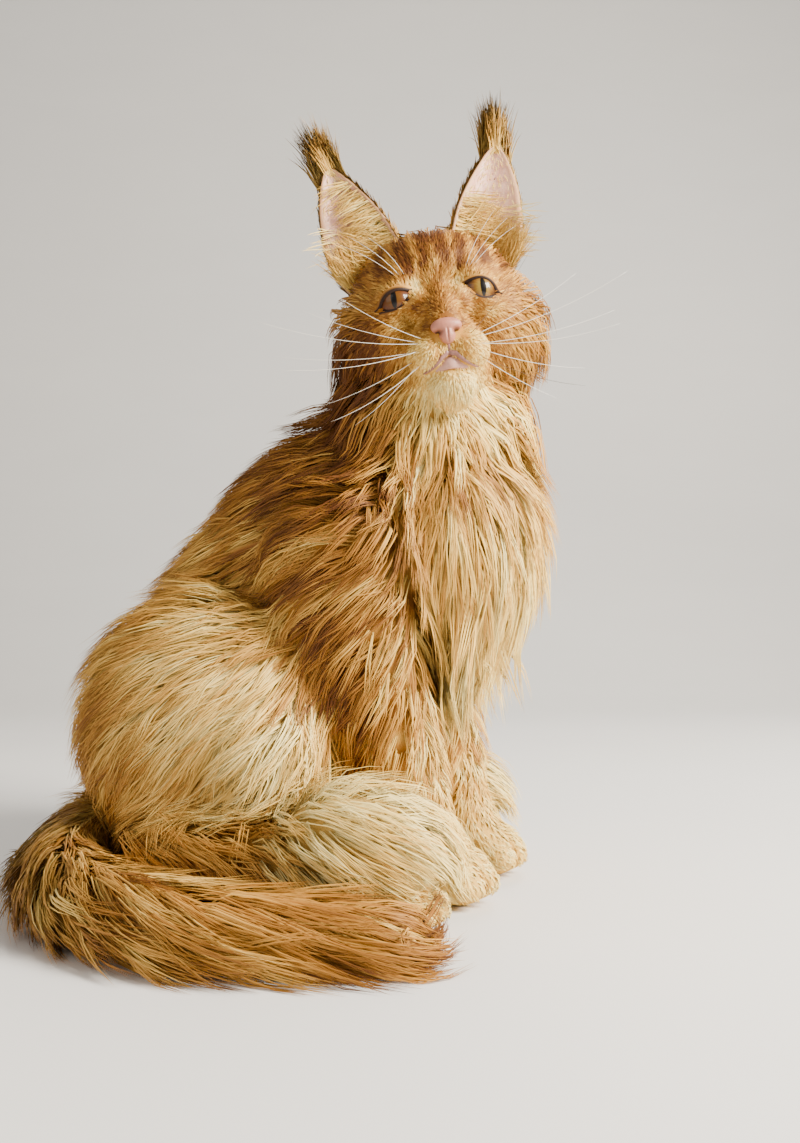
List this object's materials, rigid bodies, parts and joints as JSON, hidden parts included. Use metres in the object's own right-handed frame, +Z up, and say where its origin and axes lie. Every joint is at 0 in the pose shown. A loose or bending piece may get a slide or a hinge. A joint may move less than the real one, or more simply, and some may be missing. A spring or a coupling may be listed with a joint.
{
  "type": "seated maine coon cat model",
  "caption": "Life-size still model of a long-haired red tabby Maine Coon cat, sitting upright with its head turned and its brush of a tail curled round its feet.",
  "frame": {"origin": "centre of the bounding box's base, on the floor that the cat sits on", "axes": "+Z up, -Y the way the chest and forefeet face, +X the cat's left. The head is turned to the cat's right, towards -X."},
  "size_m": [0.349, 0.3772, 0.4903],
  "materials": {
    "coat": "long soft red tabby coat, paler on the chin, chest, haunches and feet",
    "ear": "thin short-haired ear, pink inside with long pale hair",
    "eye": "clear wet eye with an amber iris and a narrow upright pupil",
    "nose_leather": "bare brick-pink nose pad, finely grained and slightly moist"
  },
  "bodies": {
    "root": {"head": "coat", "neck": "coat", "chest": "coat", "torso": "coat", "foreleg_left": "coat", "foreleg_right": "coat", "thigh_left": "coat", "thigh_right": "coat", "hindfoot_left": "coat", "hindfoot_right": "coat", "tail_base": "coat", "tail_middle": "coat", "tail_tip": "coat", "ear_left": "ear", "ear_right": "ear", "eye_left": "eye", "eye_right": "eye", "nose": "nose_leather"}
  },
  "joints": []
}
